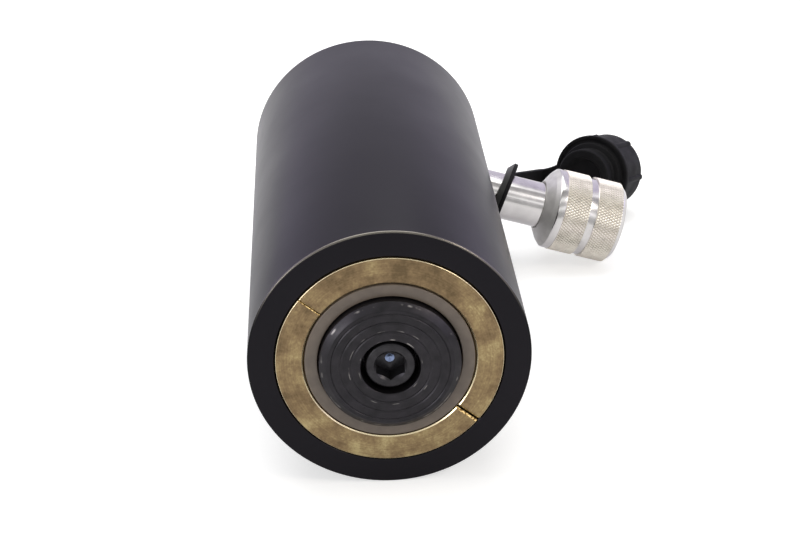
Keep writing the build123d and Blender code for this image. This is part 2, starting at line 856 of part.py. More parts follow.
cylinder_parts = {
    "cylinder_body": make_cylinder_body(),
    "base_plate": make_base_plate(),
    "base_plate_screws": Compound(children=make_base_plate_screws()),
    "plunger": make_plunger(),
    "piston_bearing_rear": make_bearing_band(rear_groove),
    "piston_bearing_front": make_bearing_band(front_groove),
    "piston_seal": make_piston_seal(),
    "seal_backup_ring": make_seal_backup_ring(),
    "stop_ring_upper_half": upper_half,
    "stop_ring_lower_half": lower_half,
    "stop_ring_lock_wire": lock_wire_round(0),
    "rod_wiper": make_rod_wiper(),
    "saddle": make_saddle(),
    "saddle_screw": make_saddle_screw(),
    "spring_lower_anchor": make_spring_lower_anchor(),
    "spring_upper_anchor": make_spring_upper_anchor(),
    "return_spring": make_return_spring(),
    "anchor_bolt": make_anchor_bolt(),
    "anchor_bolt_seal": make_anchor_bolt_seal(),
}
coupler_parts = {
    "coupler_body": make_coupler_body(),
    "coupler_nose": make_coupler_nose(),
    "coupler_nose_seal": make_coupler_nose_seal(),
    "coupler_poppet": make_coupler_poppet(),
    "poppet_guide": make_poppet_guide(),
    "poppet_spring": make_poppet_spring(),
    "coupler_collar": make_coupler_collar(),
}
cap_parts = {
    "cap_strap": make_cap_strap(),
    "dust_cap": make_dust_cap(),
}

placed = {name: lying * shape for name, shape in cylinder_parts.items()}
placed |= {name: lying * port_place * shape for name, shape in coupler_parts.items()}
placed |= {name: cap_plane.location * shape for name, shape in cap_parts.items()}
placed["cap_strap_ring"] = make_cap_strap_ring()

os.makedirs("parts", exist_ok=True)
for name, shape in placed.items():
    shape.label = name
    export_step(shape, f"parts/{name}.step")
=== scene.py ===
# %% [markdown]
# # A hydraulic cylinder that lies on its side
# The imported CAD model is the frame: every piece below is built in its place, in metres.
# The cylinder's axis is Y, its base is at y = 0, and the plunger looks towards -Y.
# Pieces that show and the springs get a finer mesh here. The other hidden ones keep their CAD solids
# with a better material.

# %% Load the frame
import math

import bpy
from mathutils import Matrix, Vector


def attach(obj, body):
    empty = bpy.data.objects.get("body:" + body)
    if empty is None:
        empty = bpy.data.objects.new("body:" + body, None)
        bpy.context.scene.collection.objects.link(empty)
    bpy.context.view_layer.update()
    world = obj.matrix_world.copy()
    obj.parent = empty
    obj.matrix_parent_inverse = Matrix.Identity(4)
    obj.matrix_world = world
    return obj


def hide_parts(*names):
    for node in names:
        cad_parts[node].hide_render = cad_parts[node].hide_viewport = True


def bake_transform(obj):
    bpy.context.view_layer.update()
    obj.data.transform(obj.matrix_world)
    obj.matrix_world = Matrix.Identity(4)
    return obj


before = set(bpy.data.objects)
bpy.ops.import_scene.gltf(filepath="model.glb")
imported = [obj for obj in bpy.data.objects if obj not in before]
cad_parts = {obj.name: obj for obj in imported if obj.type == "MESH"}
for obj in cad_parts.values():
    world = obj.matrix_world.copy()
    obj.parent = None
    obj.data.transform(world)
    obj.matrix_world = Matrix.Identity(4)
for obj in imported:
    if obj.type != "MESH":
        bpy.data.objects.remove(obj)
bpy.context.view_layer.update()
MM = 0.001

# %% [markdown]
# ## Helpers for modelling
# Most of this object was made on a lathe, so most pieces are an outline that is spun round an axis.
# These helpers select, merge, shade and place a piece, so that each later step stays short.


# %% Selection and clean-up
def select_only(*objects):
    """Selects these objects alone, in object mode, with the first one active."""
    if bpy.context.mode != "OBJECT":
        bpy.ops.object.mode_set(mode="OBJECT")
    bpy.ops.object.select_all(action="DESELECT")
    for item in objects:
        item.select_set(True)
    bpy.context.view_layer.objects.active = objects[0]


def outward_normals(item, merge=0.002 * MM):
    """Merges double vertices and turns every face outwards."""
    select_only(item)
    bpy.ops.object.mode_set(mode="EDIT")
    bpy.ops.mesh.select_all(action="SELECT")
    bpy.ops.mesh.remove_doubles(threshold=merge)
    bpy.ops.mesh.normals_make_consistent(inside=False)
    bpy.ops.object.mode_set(mode="OBJECT")


def smooth(item, degrees=32):
    """Shades smooth, apart from corners sharper than the angle."""
    select_only(item)
    bpy.ops.object.shade_smooth_by_angle(angle=math.radians(degrees))


def apply_modifiers(item):
    """Turns all modifiers into plain mesh."""
    select_only(item)
    for modifier in list(item.modifiers):
        bpy.ops.object.modifier_apply(modifier=modifier.name)


def settle(item, matrix):
    """Puts the piece in its place and bakes the place into its mesh."""
    item.matrix_world = matrix
    bpy.context.view_layer.update()
    select_only(item)
    bpy.ops.object.transform_apply(location=True, rotation=True, scale=True)
    return item


# %% [markdown]
# An outline is a list of (radius, height) points with an optional corner radius each.
# Corners get small arcs, because light on a rounded edge is what makes metal look real.


# %% Outlines with rounded corners
def rounded(points, steps=4):
    """Replaces each (radius, height, corner) point by an arc that is tangent to both sides."""
    outline = []
    count = len(points)
    for index, point in enumerate(points):
        here = Vector(point[:2])
        corner = point[2] if len(point) > 2 else 0
        if corner == 0:
            outline.append(here)
            continue
        before = (Vector(points[index - 1][:2]) - here).normalized()
        after = (Vector(points[(index + 1) % count][:2]) - here).normalized()
        half_angle = before.angle(after) / 2
        centre = here + (before + after).normalized() * corner / math.sin(half_angle)
        start = here + before * corner / math.tan(half_angle)
        end = here + after * corner / math.tan(half_angle)
        turn = (start - centre).angle_signed(end - centre)
        for step in range(steps + 1):
            outline.append(centre + Matrix.Rotation(-turn * step / steps, 2) @ (start - centre))
    return outline


# %% [markdown]
# A lathe in Blender: a plane is merged to one vertex, the vertex is extruded along the outline,
# and the closed outline is spun a full turn. The two ends of the spin are merged afterwards.
# Booleans cut and drill the turned piece, as a mill and a drill do on the real one.


# %% The lathe
def lathe(name, points, steps=96):
    """A turned piece on Z from (radius, height, corner) points in millimetres, closed by itself."""
    outline = [Vector((p.x * MM, 0, p.y * MM)) for p in rounded(points)]
    if bpy.context.mode != "OBJECT":
        bpy.ops.object.mode_set(mode="OBJECT")
    bpy.ops.object.select_all(action="DESELECT")
    bpy.ops.mesh.primitive_plane_add(size=MM, location=(0, 0, 0))
    item = bpy.context.object
    item.name = name
    item.data.name = name
    bpy.ops.object.mode_set(mode="EDIT")
    bpy.ops.mesh.select_mode(type="VERT")
    bpy.ops.mesh.select_all(action="SELECT")
    bpy.ops.mesh.merge(type="CENTER")
    bpy.ops.transform.translate(value=outline[0])
    for here, there in zip(outline, outline[1:] + outline[:1]):
        bpy.ops.mesh.extrude_region_move(TRANSFORM_OT_translate={"value": there - here})
    bpy.ops.mesh.select_all(action="SELECT")
    bpy.ops.mesh.remove_doubles(threshold=0.0001 * MM)
    bpy.ops.mesh.spin(steps=steps, angle=2 * math.pi, center=(0, 0, 0), axis=(0, 0, 1))
    bpy.ops.object.mode_set(mode="OBJECT")
    outward_normals(item)
    return item


def cut(item, *cutters):
    """Cuts the cutters out of the piece and removes them."""
    for cutter in cutters:
        modifier = item.modifiers.new("cut", "BOOLEAN")
        modifier.operation = "DIFFERENCE"
        modifier.solver = "EXACT"
        modifier.object = cutter
        select_only(item)
        bpy.ops.object.modifier_apply(modifier=modifier.name)
        bpy.data.objects.remove(cutter)
    return item


def drill(radius, low, high, matrix=Matrix.Identity(4), vertices=48):
    """A cylinder on Z from low to high, in millimetres, to cut with."""
    bpy.ops.object.select_all(action="DESELECT")
    bpy.ops.mesh.primitive_cylinder_add(
        vertices=vertices,
        radius=radius * MM,
        depth=(high - low) * MM,
        location=(0, 0, (low + high) / 2 * MM),
    )
    cutter = bpy.context.object
    bpy.ops.object.transform_apply(location=True, rotation=True, scale=True)
    return settle(cutter, matrix)


def finish_piece(item, body, material_name, nodes, angle=32):
    """Shades, paints and attaches a finished piece, and hides the CAD nodes that it stands for."""
    smooth(item, angle)
    item.data.materials.clear()
    item.data.materials.append(bpy.data.materials[material_name])
    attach(item, body)
    if nodes:
        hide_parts(*nodes)
    print(item.name, len(item.data.polygons), "faces")


def paint_faces(item, material_name, test):
    """Gives the faces whose centre passes the test a material of their own."""
    item.data.materials.append(bpy.data.materials[material_name])
    painted = 0
    for face in item.data.polygons:
        if test(face.center / MM):
            face.material_index = len(item.data.materials) - 1
            painted += 1
    print(item.name, painted, "faces of", material_name)


# %% [markdown]
# ## Places
# The cylinder was drawn standing and is laid down, so its height runs along -Y.
# The coupler screws into the side and dips until the rim of its collar touches the ground.
# The cap lies behind the collar, turned away from it.

# %% The three frames that pieces are built in
DIP = math.radians(16.732103)
PORT_HEIGHT = 22.5
LYING = Matrix(((1, 0, 0, 0), (0, 0, -1, 0), (0, 1, 0, 0), (0, 0, 0, 1)))
along_port = Vector((math.cos(DIP), 0, -math.sin(DIP)))
above_port = Vector((math.sin(DIP), 0, math.cos(DIP)))


def frame_from(x_axis, y_axis, z_axis, origin):
    """A matrix whose columns are the three axes and the origin."""
    matrix = Matrix((x_axis, y_axis, z_axis)).transposed().to_4x4()
    matrix.translation = origin
    return matrix


COUPLER = frame_from(Vector((0, 1, 0)), above_port, along_port, Vector((0, -PORT_HEIGHT * MM, 0)))
CAP_HEADING = math.radians(35)
CAP_DIP = math.radians(13.4)
CAP_ORIGIN = Vector((0.1065, 0.023, -0.028532))
cap_z = Vector(
    (
        math.sin(CAP_HEADING) * math.cos(CAP_DIP),
        math.cos(CAP_HEADING) * math.cos(CAP_DIP),
        -math.sin(CAP_DIP),
    )
)
cap_x = Vector((-math.cos(CAP_HEADING), math.sin(CAP_HEADING), 0))
CAP = frame_from(cap_x, cap_z.cross(cap_x), cap_z, CAP_ORIGIN)
RING_STATION = 61.5
RING = COUPLER @ Matrix.Translation((0, 0, RING_STATION * MM))
RING = RING @ Matrix.Rotation(math.radians(3), 4, "X") @ Matrix.Rotation(math.radians(-14), 4, "Y")
HINGE = RING @ Vector((17.5 * MM, 0, 0))
print("hinge of the strap", [round(v, 5) for v in HINGE])

# %% [markdown]
# ## Materials
# Each finish starts from the real one. Colours are the sRGB values that a paint chart would give,
# and one function turns them into the linear values that the renderer needs.
# One function adds any node. Noise takes the width of its blotches in millimetres.


# %% Colour and node helpers
def linear(code):
    """An sRGB hex colour as linear red, green, blue and alpha."""
    values = [int(code[i : i + 2], 16) / 255 for i in (1, 3, 5)]
    return [v / 12.92 if v <= 0.04045 else ((v + 0.055) / 1.055) ** 2.4 for v in values] + [1.0]


def node(tree, kind, inputs=None, **settings):
    """Adds a node, sets its properties and fills its inputs with values or links."""
    made = tree.nodes.new(kind)
    for key, value in settings.items():
        setattr(made, key, value)
    for key, value in (inputs or {}).items():
        if isinstance(value, bpy.types.NodeSocket):
            tree.links.new(value, made.inputs[key])
        else:
            made.inputs[key].default_value = value
    return made


def new_material(name, **surface):
    """A material with one Principled shader. Underscores in the names stand for spaces."""
    material = bpy.data.materials.new(name)
    material.use_nodes = True
    tree = material.node_tree
    tree.nodes.clear()
    shader = node(tree, "ShaderNodeBsdfPrincipled")
    for key, value in surface.items():
        shader.inputs[key.replace("_", " ")].default_value = value
    node(tree, "ShaderNodeOutputMaterial", {"Surface": shader.outputs[0]})
    return tree, shader


def ramp(tree, factor, *stops):
    """A colour ramp with (position, hex colour or grey value) stops."""
    made = node(tree, "ShaderNodeValToRGB", {"Fac": factor})
    elements = made.color_ramp.elements
    while len(elements) < len(stops):
        elements.new(0.5)
    for element, (position, colour) in zip(elements, stops):
        element.position = position
        element.color = linear(colour) if isinstance(colour, str) else (colour, colour, colour, 1)
    return made.outputs["Color"]


def noise(tree, vector, size_mm, detail=3.0, roughness=0.5):
    """Noise whose blotches are about this many millimetres wide."""
    settings = {"Vector": vector, "Scale": 1000 / size_mm, "Detail": detail, "Roughness": roughness}
    return node(tree, "ShaderNodeTexNoise", settings).outputs["Fac"]


def maths(tree, operation, *values):
    """One arithmetic node."""
    return node(tree, "ShaderNodeMath", dict(enumerate(values)), operation=operation).outputs[0]


def bump(tree, shader, height, distance_mm, strength=1.0):
    """Bends the surface by a height pattern of this depth."""
    settings = {"Height": height, "Distance": distance_mm * MM, "Strength": strength}
    tree.links.new(node(tree, "ShaderNodeBump", settings).outputs[0], shader.inputs["Normal"])


def place_on_piece(tree):
    """Object coordinates, in metres."""
    return node(tree, "ShaderNodeTexCoord").outputs["Object"]


def lathe_place(tree, vector):
    """A place that only knows the distance from the cylinder's axis, for marks that a lathe leaves."""
    split = node(tree, "ShaderNodeSeparateXYZ", {"Vector": vector})
    squares = [maths(tree, "MULTIPLY", split.outputs[a], split.outputs[a]) for a in ("X", "Z")]
    radius = maths(tree, "SQRT", maths(tree, "ADD", *squares))
    return node(tree, "ShaderNodeCombineXYZ", {"X": radius}).outputs[0]


# %% [markdown]
# **Black anodised aluminium.** The tube was turned, etched and dyed black in the anodising bath.
# The oxide is a thin clear layer over a dark pigment, so it is not a mirror:
# it is almost black straight on and turns grey towards grazing light.
# The rims are rubbed almost bare, and painted lighter on the upper side as a painted highlight.

# %% Black anodised aluminium
tree, shader = new_material("black anodised aluminium", Metallic=0.0, Roughness=0.36, IOR=1.5)
shader.inputs["Specular IOR Level"].default_value = 0.15
shader.inputs["Specular Tint"].default_value = linear("#F6F1FF")
where = place_on_piece(tree)
cloud = noise(tree, where, 45, 4)
fine = noise(tree, where, 0.9, 2)
tree.links.new(ramp(tree, cloud, (0.3, "#111012"), (0.7, "#151417")), shader.inputs["Base Color"])
tree.links.new(ramp(tree, cloud, (0.3, 0.3), (0.7, 0.38)), shader.inputs["Roughness"])
bump(tree, shader, fine, 0.012, 0.35)

# The rims run from black to a light grey towards the top: a painted highlight.
tree, shader = new_material("polished black edge with painted highlight", Metallic=0.9, Roughness=0.22)
split = node(tree, "ShaderNodeSeparateXYZ", {"Vector": place_on_piece(tree)})
share_of_radius = maths(tree, "MULTIPLY", split.outputs["Z"], 20.0)
tone_and_painted_light = ramp(tree, share_of_radius, (0.3, "#18181A"), (0.85, "#716D65"))
tree.links.new(tone_and_painted_light, shader.inputs["Base Color"])

# %% [markdown]
# **Aluminium bronze.** The stop ring is sawn from cast and turned bronze, and it has been handled:
# a dull khaki brown with fine turning marks, stained where it has tarnished, and bright on its edges.
# The lower side is painted a little lighter than the upper one, as a painted reflection of the floor. The
# saw left rough, bare metal.

# %% Aluminium bronze
tree, shader = new_material("aluminium bronze", Metallic=1.0, Roughness=0.42)
where = place_on_piece(tree)
stain = noise(tree, where, 9, 5, 0.65)
grain = noise(tree, where, 0.9, 3, 0.6)
turned = noise(tree, lathe_place(tree, where), 0.5, 2, 0.6)
marks = maths(tree, "MULTIPLY_ADD", turned, 0.5, maths(tree, "MULTIPLY", grain, 0.5))
mixed = maths(tree, "MULTIPLY_ADD", stain, 0.62, maths(tree, "MULTIPLY", marks, 0.38))
height = node(tree, "ShaderNodeSeparateXYZ", {"Vector": where}).outputs["Z"]
# The colour gets lighter towards the bottom: a painted reflection of the floor.
LIGHTER_PER_METRE_DOWN = -1.4
tone_and_painted_light = maths(tree, "MULTIPLY_ADD", height, LIGHTER_PER_METRE_DOWN, mixed)
colours = ramp(tree, tone_and_painted_light, (0.38, "#6A5A42"), (0.48, "#836F52"), (0.56, "#95825E"), (0.66, "#B5A578"))
tree.links.new(colours, shader.inputs["Base Color"])
tree.links.new(ramp(tree, stain, (0.35, 0.48), (0.65, 0.36)), shader.inputs["Roughness"])
bump(tree, shader, marks, 0.03, 0.5)

new_material("worn bronze edge", Metallic=1.0, Roughness=0.26, Base_Color=linear("#E0D2AC"))

tree, shader = new_material("sawn bronze", Metallic=0.7, Roughness=0.4)
teeth = noise(tree, place_on_piece(tree), 0.8, 2)
tree.links.new(ramp(tree, teeth, (0.4, "#6B5222"), (0.6, "#F2D795")), shader.inputs["Base Color"])
bump(tree, shader, teeth, 0.1, 0.8)

# %% [markdown]
# **Hard-anodised aluminium.** The plunger has a thick grey oxide, as hard as file steel and quite matt.

# %% Hard-anodised aluminium
tree, shader = new_material("hard anodised aluminium", Metallic=0.0, Roughness=0.38, IOR=1.5)
shader.inputs["Specular IOR Level"].default_value = 0.5
where = place_on_piece(tree)
tone = noise(tree, where, 5, 4)
tree.links.new(ramp(tree, tone, (0.3, "#655B51"), (0.7, "#73685D")), shader.inputs["Base Color"])
bump(tree, shader, noise(tree, where, 0.7, 3), 0.02, 0.4)

# %% [markdown]
# **Black oxide steel.** The saddle was turned, hardened and blackened in hot salts.
# The tool left rings about 0.5 mm apart on its face, which catch the light as short bright arcs; short
# light grey arcs on them are also painted into the colour as painted highlights.

# %% Black oxide steel, turned and plain
tree, shader = new_material("black oxide steel turned", Metallic=0.75, Roughness=0.36)
where = place_on_piece(tree)
tool_rings = noise(tree, lathe_place(tree, where), 0.55, 3, 0.6)
# Light grey arcs on random stretches of the rings are painted highlights.
glint_rings = ramp(tree, noise(tree, lathe_place(tree, where), 1.3, 1), (0.6, 0.0), (0.68, 1.0))
glint_spots = ramp(tree, noise(tree, where, 5, 2), (0.54, 0.0), (0.7, 1.0))
painted_glints = maths(tree, "MULTIPLY", glint_rings, glint_spots)
patches = ramp(tree, noise(tree, where, 4, 4), (0.3, "#242325"), (0.7, "#302E31"))
tone_and_painted_light = node(tree, "ShaderNodeMix", {0: painted_glints, 6: patches, 7: linear("#A9A5A0")}, data_type="RGBA")
tree.links.new(tone_and_painted_light.outputs[2], shader.inputs["Base Color"])
tree.links.new(ramp(tree, tool_rings, (0.3, 0.26), (0.7, 0.42)), shader.inputs["Roughness"])
bump(tree, shader, tool_rings, 0.05, 0.6)

tree, shader = new_material("black oxide steel", Metallic=0.75, Roughness=0.34)
where = place_on_piece(tree)
patches = noise(tree, where, 2.5, 4)
tree.links.new(ramp(tree, patches, (0.3, "#2A292B"), (0.7, "#383739")), shader.inputs["Base Color"])
bump(tree, shader, noise(tree, where, 0.5, 2), 0.01, 0.4)

# %% [markdown]
# **Zinc-plated steel.** The coupler is turned steel with a bright zinc coat:
# a silver with a faint warm tint that mirrors the room in soft bands.
# The collar's cone was left duller than the rest, and the knurl is bright only on its tips.

# %% Zinc-plated steel
tree, shader = new_material("zinc plated steel", Metallic=1.0, Roughness=0.2)
where = place_on_piece(tree)
tone = noise(tree, where, 6, 3)
tree.links.new(ramp(tree, tone, (0.3, "#C6C4C1"), (0.7, "#D3D1CE")), shader.inputs["Base Color"])
tree.links.new(ramp(tree, tone, (0.3, 0.15), (0.7, 0.22)), shader.inputs["Roughness"])

tree, shader = new_material("zinc plated shoulder", Metallic=0.35, Roughness=0.42)
where = place_on_piece(tree)
tone = noise(tree, where, 3, 3)
tree.links.new(ramp(tree, tone, (0.3, "#C9C6C3"), (0.7, "#D8D6D3")), shader.inputs["Base Color"])

tree, shader = new_material("zinc plated knurl", Metallic=0.9, Roughness=0.3)
where = place_on_piece(tree)
tone = noise(tree, where, 3, 3)
tree.links.new(ramp(tree, tone, (0.3, "#CAC4B7"), (0.7, "#DDD8CB")), shader.inputs["Base Color"])

# %% [markdown]
# **Spring steel, rubber and the plastics inside.** Springs are drawn wire with a thin oil film.
# The cap and its strap are one soft black moulding. Seals are polyurethane, and bands are resin fabric.

# %% Spring steel, rubber and plastics
new_material("spring steel", Metallic=1.0, Roughness=0.35, Base_Color=linear("#8C8C8E"))

tree, shader = new_material("moulded rubber", Metallic=0.0, Roughness=0.5, IOR=1.5)
shader.inputs["Specular IOR Level"].default_value = 0.1
where = place_on_piece(tree)
dust = noise(tree, where, 6, 4)
tree.links.new(ramp(tree, dust, (0.35, "#131314"), (0.7, "#1B1B1C")), shader.inputs["Base Color"])
tree.links.new(ramp(tree, dust, (0.35, 0.55), (0.7, 0.72)), shader.inputs["Roughness"])
bump(tree, shader, noise(tree, where, 0.6, 2), 0.02, 0.3)

# The strap ring's bevel is painted a lighter grey where the light falls on it: painted light.
new_material("rubber painted lighter where lit", Roughness=0.5, Base_Color=linear("#454543"))
new_material("polyurethane seal", Roughness=0.35, Base_Color=linear("#3E5F85"))
new_material("resin bearing fabric", Roughness=0.6, Base_Color=linear("#6B4A32"))
new_material("machined steel", Metallic=1.0, Roughness=0.4, Base_Color=linear("#8A8A8C"))
# The bluish steel at the bottom of the socket is a painted highlight.
new_material("drilled steel with painted highlight", Metallic=1.0, Roughness=0.25, Base_Color=linear("#7D8BA8"))
print(len(bpy.data.materials), "materials")

# %% [markdown]
# ## Hidden pieces keep their CAD solids
# What nobody sees at rest only needs its own finish.

# %% Paint the CAD nodes
finishes = {
    "base_plate": "black oxide steel turned",
    "base_plate_screws": "black oxide steel",
    "stop_ring_lock_wire": "spring steel",
    "rod_wiper": "polyurethane seal",
    "piston_seal": "polyurethane seal",
    "seal_backup_ring": "resin bearing fabric",
    "piston_bearing_rear": "resin bearing fabric",
    "piston_bearing_front": "resin bearing fabric",
    "spring_lower_anchor": "machined steel",
    "spring_upper_anchor": "machined steel",
    "anchor_bolt": "black oxide steel",
    "anchor_bolt_seal": "zinc plated steel",
    "poppet_guide": "zinc plated steel",
    "coupler_nose": "zinc plated steel",
    "coupler_nose_seal": "moulded rubber",
    "coupler_poppet": "zinc plated steel",
}
for node_name, finish in finishes.items():
    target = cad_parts[node_name]
    target.data.materials.clear()
    target.data.materials.append(bpy.data.materials[finish])
print(len(finishes), "CAD nodes painted")

# %% [markdown]
# ## Cylinder body
# A thick tube with a closed bottom, turned from bar. One closed outline makes inside and outside
# together: the bore, the seat of the stop ring with its wire groove, the recess of the base plate.
# The front rim is only broken by 0.6 mm and rubbed bare, so it catches a thin line of light; its upper side
# is also painted lighter as a painted highlight.

# %% Turn the body
body_outline = [
    (8.05, 36),
    (37.5, 36, 0.4),
    (37.5, 170),
    (40.3, 170),
    (40.3, 182),
    (41.6, 182.5),
    (42.35, 184),
    (41.6, 185.5),
    (40.3, 186),
    (40.3, 199.5),
    (40.8, 200),
    (50, 200, 0.6),
    (50, 0.5, 1.3),
    (42.15, 0.5, 0.3),
    (42.15, 8),
    (9.5, 8),
    (9.5, 20),
    (5.05, 20),
    (5.05, 24),
    (8.05, 24),
]
body = lathe("cylinder_shell", body_outline, steps=192)

# %% [markdown]
# The port is drilled into the side at the coupler's angle, on a milled spot face,
# and the screw holes go in from the base. Cylinders cut them out.

# %% Drill the body
port_tools = [drill(8.3, 26, 60, COUPLER), drill(14, 48, 60, COUPLER, 96)]
passage = Matrix.Translation((31 * MM * math.cos(DIP), 0, -31 * MM * math.sin(DIP))) @ LYING
body = settle(body, LYING)
cut(body, *port_tools, drill(3, PORT_HEIGHT, 40, passage))
HOLE_CIRCLE = 33
for first_turn, radius, depth in ((60, 3.05, 19), (30, 4, 20)):
    for quarter in range(4):
        turn = math.radians(first_turn + 90 * quarter) - DIP
        spot = Vector((HOLE_CIRCLE * math.cos(turn), 0, HOLE_CIRCLE * math.sin(turn))) * MM
        cut(body, drill(radius, 7, depth, Matrix.Translation(spot) @ LYING, 24))
finish_piece(
    body, "cylinder", "black anodised aluminium", ["cylinder_body"]
)
# Both rims of the face get the painted highlight on their upper side.
paint_faces(body, "polished black edge with painted highlight", lambda at: at.y < -199.3 and at.xz.length > 49.3)
paint_faces(body, "polished black edge with painted highlight", lambda at: at.y < -199.3 and at.xz.length < 40.9)

# %% [markdown]
# ## Stop ring
# One bronze ring is turned, with a bevel towards the plunger, and then sawn across.
# A bisect keeps one side of a plane and fills the cut, so the ring is cut twice, once for each half.
# A file then breaks the front edges of the saw cuts: a cube on its edge cuts a V along each of them.
# A cutting edge is never perfect, so the halves sit a hair out of line.

# %% Turn and saw the stop ring
RING_FACE = 200.5
ring_outline = [
    (30.05, 170),
    (40.15, 170, 0.3),
    (40.15, RING_FACE, 0.35),
    (31.05, RING_FACE, 0.25),
    (30.6, RING_FACE - 0.35, 0.1),
    (30.45, RING_FACE - 1.2),
    (30.05, RING_FACE - 1.4),
    (30.05, 196.5),
    (35, 196.5),
    (35, 191.5),
    (30.05, 191.5),
]
JOINT_MIDDLE = 35.2
JOINT_LENGTH = 14
for name, side, node_name, saw_turn, half_gap, slip in (
    ("stop_ring_upper", -1, "stop_ring_upper_half", 141.15, 0.24, 0.0),
    ("stop_ring_lower", 1, "stop_ring_lower_half", 140.7, 0.28, 0.12),
):
    half = lathe(name, ring_outline, steps=128)
    turn = math.radians(saw_turn)
    across = Vector((-math.sin(turn), math.cos(turn), 0)) * side
    select_only(half)
    bpy.ops.object.mode_set(mode="EDIT")
    bpy.ops.mesh.select_all(action="SELECT")
    bpy.ops.mesh.bisect(
        plane_co=across * half_gap * MM,
        plane_no=across,
        use_fill=True,
        clear_inner=True,
    )
    bpy.ops.object.mode_set(mode="OBJECT")
    for joint_turn, notch in ((0, 0.8), (math.pi, 1.3)):
        bpy.ops.object.select_all(action="DESELECT")
        bpy.ops.mesh.primitive_cube_add(size=1, scale=(JOINT_LENGTH * MM, notch * MM, notch * MM))
        wedge = bpy.context.object
        joint = turn + joint_turn
        wedge.rotation_euler = (math.pi / 4, 0, joint)
        wedge.location = (
            JOINT_MIDDLE * math.cos(joint) * MM,
            JOINT_MIDDLE * math.sin(joint) * MM,
            RING_FACE * MM,
        )
        bpy.ops.object.transform_apply(location=True, rotation=True, scale=True)
        cut(half, wedge)
    settle(half, LYING @ Matrix.Translation((0, 0, -slip * MM)))
    finish_piece(half, "cylinder", "aluminium bronze", [node_name])
    paint_faces(half, "worn bronze edge", lambda at: at.y < -200.1 and at.xz.length < 31)
    paint_faces(half, "worn bronze edge", lambda at: at.y < -200.1 and at.xz.length > 39.9)
    paint_faces(
        half, "sawn bronze", lambda at: at.y < -199.4 and abs((LYING.inverted() @ at).dot(across)) < 0.9
    )

# %% [markdown]
# ## Plunger
# The piston and its rod are one turned piece. Only the front rim shows at rest,
# and the rod comes out at the other end of the travel, so all of it is made.

# %% Turn the plunger
plunger_outline = [
    (21, 36.3),
    (34, 36.3, 0.5),
    (37, 39.3, 0.5),
    (37, 42.3),
    (35.35, 42.3),
    (35.35, 50.3),
    (37, 50.3),
    (37, 57.3),
    (31.4, 57.3),
    (31.4, 66.2),
    (37, 66.2),
    (37, 75.7),
    (35.35, 75.7),
    (35.35, 89.7),
    (37, 89.7),
    (37, 94.7, 0.4),
    (30, 94.7),
    (30, RING_FACE, 0.45),
    (25.5, RING_FACE, 0.35),
    (25.5, 187.5),
    (6.05, 187.5),
    (6.05, 163.7),
    (0, 163.7),
    (0, 157.5),
    (8.05, 157.5),
    (8.05, 145.5),
    (21, 145.5),
]
plunger = lathe("plunger_rod", plunger_outline, steps=144)
settle(plunger, LYING)
finish_piece(plunger, "plunger", "hard anodised aluminium", ["plunger"])

# %% [markdown]
# ## Saddle
# The cap that carries the load. Its rim slopes, and shallow grooves run round its face,
# so that a load doesn't slip. They are in the outline, a third of a millimetre deep.

# %% Turn the saddle
SADDLE_FACE = 205.2
saddle_outline = [
    (25, 187.5),
    (25, 203.0, 0.5),
    (22.4, 204.9, 0.8),
    (21.2, 205.05, 0.2),
    (20.9, 204.75, 0.1),
    (20.5, 205.1, 0.2),
    (18.2, SADDLE_FACE, 0.3),
    (17.7, 204.85, 0.2),
    (17.2, SADDLE_FACE, 0.3),
    (16.3, 205.1, 0.3),
    (14.5, SADDLE_FACE, 0.3),
    (14, 204.85, 0.2),
    (13.5, SADDLE_FACE, 0.3),
    (10.5, SADDLE_FACE, 0.5),
    (10.5, 191.7),
    (6.05, 191.7),
    (6.05, 187.5),
]
saddle = lathe("saddle_disc", saddle_outline, steps=128)
settle(saddle, LYING)
finish_piece(saddle, "plunger", "black oxide steel turned", ["saddle"], 50)

# %% [markdown]
# ## Saddle screw
# A socket head cap screw. The head is turned, and a six-sided cutter with a cone above it
# makes the socket. The cone gives the bright scalloped edge that real sockets have.
# The point of the drill that cleared the socket leaves a small cone in its bottom, painted a bright bluish
# steel as a painted highlight.

# %% Turn the screw and cut its socket
screw_outline = [
    (0, -25),
    (4.8, -25),
    (6, -23.8),
    (6, 0),
    (8.9, 0, 0.3),
    (8.9, 12, 1.0),
    (0, 12),
]
screw = lathe("saddle_bolt", screw_outline, steps=96)
SOCKET_FLATS = 10
hexagon = drill(SOCKET_FLATS / math.sqrt(3), 6, 13, Matrix.Identity(4), 6)
bpy.ops.object.select_all(action="DESELECT")
bpy.ops.mesh.primitive_cone_add(
    vertices=64, radius1=4.6 * MM, radius2=6.1 * MM, depth=1.5 * MM, location=(0, 0, 11.5 * MM)
)
mouth = bpy.context.object
bpy.ops.object.transform_apply(location=True, rotation=True, scale=True)
bpy.ops.object.select_all(action="DESELECT")
bpy.ops.mesh.primitive_cone_add(
    vertices=48, radius1=0.05 * MM, radius2=1.7 * MM, depth=0.85 * MM, location=(0, 0, 5.6 * MM)
)
bottom = bpy.context.object
bpy.ops.object.transform_apply(location=True, rotation=True, scale=True)
cut(screw, hexagon, mouth, bottom)
settle(screw, LYING @ Matrix.Translation((0, 0, 191.7 * MM)))
finish_piece(screw, "plunger", "black oxide steel", ["saddle_screw"])
# The cone at the bottom of the socket gets the painted highlight.
paint_faces(screw, "drilled steel with painted highlight", lambda at: at.xz.length < 1.7 and -197.65 < at.y < -196.5)

# %% [markdown]
# ## Coupler neck
# The neck screws into the port and has two flats for a wrench near the body.
# The shoulder inside the collar keeps it on.

